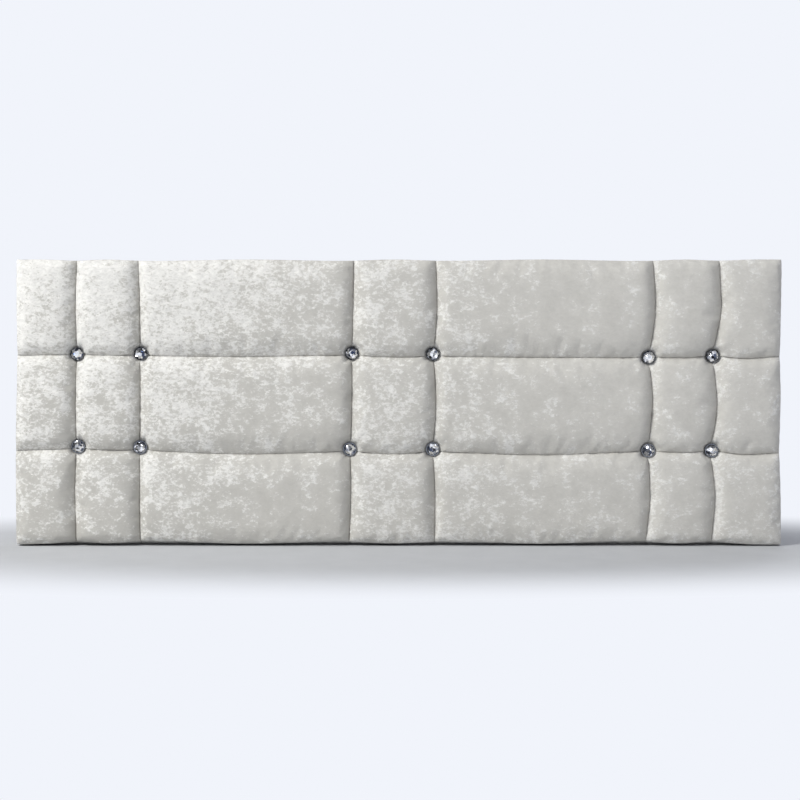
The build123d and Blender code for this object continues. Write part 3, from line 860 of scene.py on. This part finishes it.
# Its weld points lie about 2 mm apart, and are drawn 4 mm apart so that they show.
welds = node(tree, "ShaderNodeTexVoronoi", {"Vector": place, "Scale": 1 / (4 * mm), "Randomness": 0.15})
fibres = node(
    tree,
    "ShaderNodeTexNoise",
    {"Vector": place, "Scale": 1 / (1.5 * mm), "Detail": 4.0, "Roughness": 0.7},
)
web = node(tree, "ShaderNodeTexNoise", {"Vector": place, "Scale": 1 / (30 * mm), "Detail": 3.0})
weld_depth = node(
    tree, "ShaderNodeMapRange", {"Value": welds.outputs["Distance"], "From Min": 0.15, "From Max": 0.35}
)
height_sum = node(
    tree, "ShaderNodeMath", {0: weld_depth.outputs[0], 1: fibres.outputs[0]}, operation="ADD"
)
cloudy = node(
    tree,
    "ShaderNodeMix",
    {0: web.outputs[0], 6: linear("#17181A"), 7: linear("#2A2B2E")},
    data_type="RGBA",
)
fuzzy = node(
    tree, "ShaderNodeMath", {0: weld_depth.outputs[0], 1: fibres.outputs[0]}, operation="MULTIPLY"
)
tone = node(
    tree,
    "ShaderNodeMix",
    {0: fuzzy.outputs[0], 6: cloudy.outputs[2], 7: linear("#47484C")},
    data_type="RGBA",
)
polish = node(
    tree, "ShaderNodeMapRange", {"Value": weld_depth.outputs[0], "To Min": 0.4, "To Max": 0.85}
)
relief = node(
    tree, "ShaderNodeBump", {"Height": height_sum.outputs[0], "Strength": 0.8, "Distance": 0.4 * mm}
)
surface = node(
    tree,
    "ShaderNodeBsdfPrincipled",
    {
        "Base Color": tone.outputs[2],
        "Roughness": polish.outputs[0],
        "Sheen Weight": 0.1,
        "Normal": relief.outputs[0],
    },
)
node(tree, "ShaderNodeOutputMaterial", {"Surface": surface.outputs[0]})
dust_cloth.data.materials.append(spunbond)
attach(dust_cloth, "root")
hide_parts("dust_cover")


# Staples. Bent from flat galvanised wire and shot through the cloth into the timber. One ring holds
# the velvet's return, and a ring with fewer staples, inside it, holds the dust cloth.
wire_thickness = 0.6 * mm
cover_staple_inset = 22 * mm
cover_staple_leg = 7.5 * mm
cloth_staple_leg = 8.7 * mm
staple_zinc, tree, place = bare_finish("galvanised_staple_wire")
spangle = node(tree, "ShaderNodeTexVoronoi", {"Vector": place, "Scale": 1 / (1.6 * mm)})
polish = node(
    tree, "ShaderNodeMapRange", {"Value": spangle.outputs["Distance"], "To Min": 0.28, "To Max": 0.45}
)
tone = node(
    tree,
    "ShaderNodeMix",
    {0: spangle.outputs["Distance"], 6: linear("#B9BAB8"), 7: linear("#CFD0CE")},
    data_type="RGBA",
)
surface = node(
    tree,
    "ShaderNodeBsdfPrincipled",
    {"Base Color": tone.outputs[2], "Metallic": 1.0, "Roughness": polish.outputs[0]},
)
node(tree, "ShaderNodeOutputMaterial", {"Surface": surface.outputs[0]})

stapling = bpy.data.node_groups.new("stapling", "GeometryNodeTree")
stapling.interface.new_socket("Places", in_out="INPUT", socket_type="NodeSocketGeometry")
for size_name in ("Crown length", "Leg length", "Wire width", "Wire thickness", "Bend radius"):
    stapling.interface.new_socket(size_name, in_out="INPUT", socket_type="NodeSocketFloat")
stapling.interface.new_socket("Staples", in_out="OUTPUT", socket_type="NodeSocketGeometry")
given = node(stapling, "NodeGroupInput").outputs
crown_middle = node(
    stapling,
    "ShaderNodeMath",
    {0: given["Crown length"], 1: given["Wire thickness"]},
    operation="SUBTRACT",
)
half_crown, other_half, crown_depth, leg_end = (
    node(stapling, "ShaderNodeMath", {0: length, 1: times}, operation="MULTIPLY").outputs[0]
    for length, times in (
        (crown_middle.outputs[0], 0.5),
        (crown_middle.outputs[0], -0.5),
        (given["Wire thickness"], -0.5),
        (given["Leg length"], -1.0),
    )
)
corner_places = (
    (other_half, leg_end),
    (other_half, crown_depth),
    (half_crown, crown_depth),
    (half_crown, leg_end),
)
corners = [
    node(stapling, "ShaderNodeCombineXYZ", {"X": along, "Y": back}).outputs[0]
    for along, back in corner_places
]
outline = node(
    stapling,
    "GeometryNodeCurvePrimitiveQuadrilateral",
    {f"Point {n}": corner for n, corner in enumerate(corners, start=1)},
    mode="POINTS",
)
opened = node(stapling, "GeometryNodeSetSplineCyclic", {"Geometry": outline.outputs[0], "Cyclic": False})
bent = node(
    stapling,
    "GeometryNodeFilletCurve",
    {"Curve": opened.outputs[0], "Radius": given["Bend radius"], "Count": 3, "Limit Radius": True},
    mode="POLY",
)
wire_section = node(
    stapling,
    "GeometryNodeCurvePrimitiveQuadrilateral",
    {"Width": given["Wire width"], "Height": given["Wire thickness"]},
    mode="RECTANGLE",
)
wire = node(
    stapling,
    "GeometryNodeCurveToMesh",
    {"Curve": bent.outputs[0], "Profile Curve": wire_section.outputs[0], "Fill Caps": True},
)
turn = node(stapling, "GeometryNodeInputNamedAttribute", {"Name": "turn"}, data_type="FLOAT").outputs[0]
turned = node(stapling, "ShaderNodeCombineXYZ", {"Y": turn})
placed = node(
    stapling,
    "GeometryNodeInstanceOnPoints",
    {"Points": given["Places"], "Instance": wire.outputs[0], "Rotation": turned.outputs[0]},
)
realised = node(stapling, "GeometryNodeRealizeInstances", {"Geometry": placed.outputs[0]})
coated = node(
    stapling, "GeometryNodeSetMaterial", {"Geometry": realised.outputs[0], "Material": staple_zinc}
)
node(stapling, "NodeGroupOutput", {"Staples": coated.outputs[0]})


def staple_ring(name, places, crown_face, leg_length, replaced):
    """A ring of staples from the stapling tree, as one plain mesh."""
    dots = bpy.data.meshes.new(name)
    dots.from_pydata([(u, crown_face, v) for u, v, _ in places], [], [])
    turns = [math.pi / 2 * up for _, _, up in places]
    dots.attributes.new("turn", "FLOAT", "POINT").data.foreach_set("value", turns)
    ring = bpy.data.objects.new(name, dots)
    bpy.context.scene.collection.objects.link(ring)
    shot = ring.modifiers.new("stapling", "NODES")
    shot.node_group = stapling
    sizes_given = {
        "Crown length": 10 * mm,
        "Leg length": leg_length,
        "Wire width": 1.2 * mm,
        "Wire thickness": wire_thickness,
        "Bend radius": 0.9 * mm,
    }
    for item in stapling.interface.items_tree:
        if item.name in sizes_given:
            shot[item.identifier] = sizes_given[item.name]
    made_plain(ring)
    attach(ring, "root")
    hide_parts(replaced)


cover_places = ring_places(-cover_half, cover_half, 0, cover_top, cover_staple_inset, staple_pitch)
cloth_crown = cloth_high.y + wire_thickness
staple_ring("cover_staple_ring", cover_places, cover_back, cover_staple_leg, "cover_staples")
staple_ring("dust_staple_ring", cloth_staples, cloth_crown, cloth_staple_leg, "dust_cover_staples")


# Frame. Rails, stiles, battens and corner blocks of sawn spruce, glued and screwed, with their faces
# planed. It is pale straw with darker growth lines that run along each piece, and a few small knots.
def sawn_spruce(name, grain):
    """Spruce with its growth lines along the axis that grain squeezes the pattern on."""
    spruce, tree, place = bare_finish(name)
    drawn_out = node(tree, "ShaderNodeMapping", {"Vector": place, "Scale": grain}).outputs[0]
    waver = node(
        tree, "ShaderNodeTexNoise", {"Vector": drawn_out, "Scale": 1 / (60 * mm), "Detail": 2.0}
    )
    lines = node(
        tree,
        "ShaderNodeTexNoise",
        {"Vector": drawn_out, "Scale": 1 / (5 * mm), "Detail": 4.0, "Distortion": 0.4},
    )
    fibre = node(
        tree, "ShaderNodeTexNoise", {"Vector": drawn_out, "Scale": 1 / (0.8 * mm), "Detail": 3.0}
    )
    knots = node(tree, "ShaderNodeTexVoronoi", {"Vector": place, "Scale": 1 / (170 * mm)})
    knot = node(
        tree,
        "ShaderNodeMapRange",
        {
            "Value": knots.outputs["Distance"],
            "From Min": 0.035,
            "From Max": 0.07,
            "To Min": 1.0,
            "To Max": 0.0,
        },
    )
    banding = node(tree, "ShaderNodeMath", {0: lines.outputs[0], 1: waver.outputs[0]}, operation="ADD")
    late = node(
        tree, "ShaderNodeMapRange", {"Value": banding.outputs[0], "From Min": 0.85, "From Max": 1.2}
    )
    straw = node(
        tree,
        "ShaderNodeMix",
        {0: late.outputs[0], 6: linear("#E2C99B"), 7: linear("#C0965C")},
        data_type="RGBA",
    )
    knotty = node(
        tree,
        "ShaderNodeMix",
        {0: knot.outputs[0], 6: straw.outputs[2], 7: linear("#7A4A24")},
        data_type="RGBA",
    )
    relief = node(
        tree, "ShaderNodeBump", {"Height": fibre.outputs[0], "Strength": 0.4, "Distance": 0.3 * mm}
    )
    polish = node(tree, "ShaderNodeMapRange", {"Value": late.outputs[0], "To Min": 0.72, "To Max": 0.55})
    surface = node(
        tree,
        "ShaderNodeBsdfPrincipled",
        {"Base Color": knotty.outputs[2], "Roughness": polish.outputs[0], "Normal": relief.outputs[0]},
    )
    node(tree, "ShaderNodeOutputMaterial", {"Surface": surface.outputs[0]})
    return spruce


dress(["bottom_rail", "top_rail"], sawn_spruce("sawn_spruce_level", (0.06, 1, 1)))
standing = ["left_stile", "left_strut_batten", "centre_batten", "right_strut_batten", "right_stile"]
blocks = [f"{level}_{side}_corner_block" for level in ("lower", "upper") for side in ("left", "right")]
dress(standing + blocks, sawn_spruce("sawn_spruce_upright", (1, 1, 0.06)))


# Face panel. Standard hardboard, pressed from brown wood fibre and pinned to the frame's front. It is
# smooth and slightly shiny, with the fibres showing as fine flecks.
hardboard, tree, place = bare_finish("standard_hardboard")
flecks = node(
    tree,
    "ShaderNodeTexNoise",
    {"Vector": place, "Scale": 1 / (2 * mm), "Detail": 6.0, "Roughness": 0.75},
)
cast = node(tree, "ShaderNodeTexNoise", {"Vector": place, "Scale": 1 / (120 * mm), "Detail": 2.0})
mixed = node(tree, "ShaderNodeMath", {0: flecks.outputs[0], 1: cast.outputs[0]}, operation="MULTIPLY")
shade = node(tree, "ShaderNodeMapRange", {"Value": mixed.outputs[0], "From Min": 0.15, "From Max": 0.4})
tone = node(
    tree,
    "ShaderNodeMix",
    {0: shade.outputs[0], 6: linear("#4F3220"), 7: linear("#85603F")},
    data_type="RGBA",
)
relief = node(
    tree, "ShaderNodeBump", {"Height": flecks.outputs[0], "Strength": 0.2, "Distance": 0.2 * mm}
)
surface = node(
    tree,
    "ShaderNodeBsdfPrincipled",
    {"Base Color": tone.outputs[2], "Roughness": 0.48, "Normal": relief.outputs[0]},
)
node(tree, "ShaderNodeOutputMaterial", {"Surface": surface.outputs[0]})
dress(["face_panel"], hardboard)


# Screws, panel pins and tee nuts. They hold the frame together, the panel on it and the bed's strut
# bolts, and are steel with a bright zinc plating, dulled here and there by handling.
plated, tree, place = bare_finish("zinc_plated_steel")
dulling = node(
    tree, "ShaderNodeTexNoise", {"Vector": place, "Scale": 1 / (5 * mm), "Detail": 5.0, "Roughness": 0.6}
)
polish = node(tree, "ShaderNodeMapRange", {"Value": dulling.outputs[0], "To Min": 0.2, "To Max": 0.5})
tone = node(
    tree,
    "ShaderNodeMix",
    {0: dulling.outputs[0], 6: linear("#AEB1B3"), 7: linear("#D2D3D0")},
    data_type="RGBA",
)
surface = node(
    tree,
    "ShaderNodeBsdfPrincipled",
    {"Base Color": tone.outputs[2], "Metallic": 1.0, "Roughness": polish.outputs[0]},
)
node(tree, "ShaderNodeOutputMaterial", {"Surface": surface.outputs[0]})
dress(["frame_screws", "panel_pins", "tee_nuts"], plated)


# Button twines. Each ties a button's shank to its toggle through the foam and the panel. They are of
# waxed nylon, twisted from three plies, off white with a soft shine along the lay of the plies.
waxed, tree, place = bare_finish("waxed_nylon_twine")
plies = node(
    tree,
    "ShaderNodeTexWave",
    {"Vector": place, "Scale": 1 / (9 * mm), "Distortion": 1.5, "Detail": 2.0},
    bands_direction="DIAGONAL",
)
tone = node(
    tree,
    "ShaderNodeMix",
    {0: plies.outputs[1], 6: linear("#C9C1AE"), 7: linear("#EDE8DB")},
    data_type="RGBA",
)
relief = node(
    tree, "ShaderNodeBump", {"Height": plies.outputs[1], "Strength": 0.6, "Distance": 0.2 * mm}
)
surface = node(
    tree,
    "ShaderNodeBsdfPrincipled",
    {"Base Color": tone.outputs[2], "Roughness": 0.5, "Normal": relief.outputs[0]},
)
node(tree, "ShaderNodeOutputMaterial", {"Surface": surface.outputs[0]})
dress(["button_twines"], waxed)


# Button toggles. Moulded black polypropylene discs with two holes, behind the face panel, each tied on
# by its button's twine. They are satin, with the faint orange peel of the mould.
moulded, tree, place = bare_finish("moulded_black_polypropylene")
peel = node(tree, "ShaderNodeTexNoise", {"Vector": place, "Scale": 1 / (1.2 * mm), "Detail": 2.0})
relief = node(
    tree, "ShaderNodeBump", {"Height": peel.outputs[0], "Strength": 0.25, "Distance": 0.1 * mm}
)
scuffs = node(tree, "ShaderNodeMapRange", {"Value": peel.outputs[0], "To Min": 0.38, "To Max": 0.55})
surface = node(
    tree,
    "ShaderNodeBsdfPrincipled",
    {"Base Color": linear("#1D1E20"), "Roughness": scuffs.outputs[0], "Normal": relief.outputs[0]},
)
node(tree, "ShaderNodeOutputMaterial", {"Surface": surface.outputs[0]})
dress(["button_toggles"], moulded)
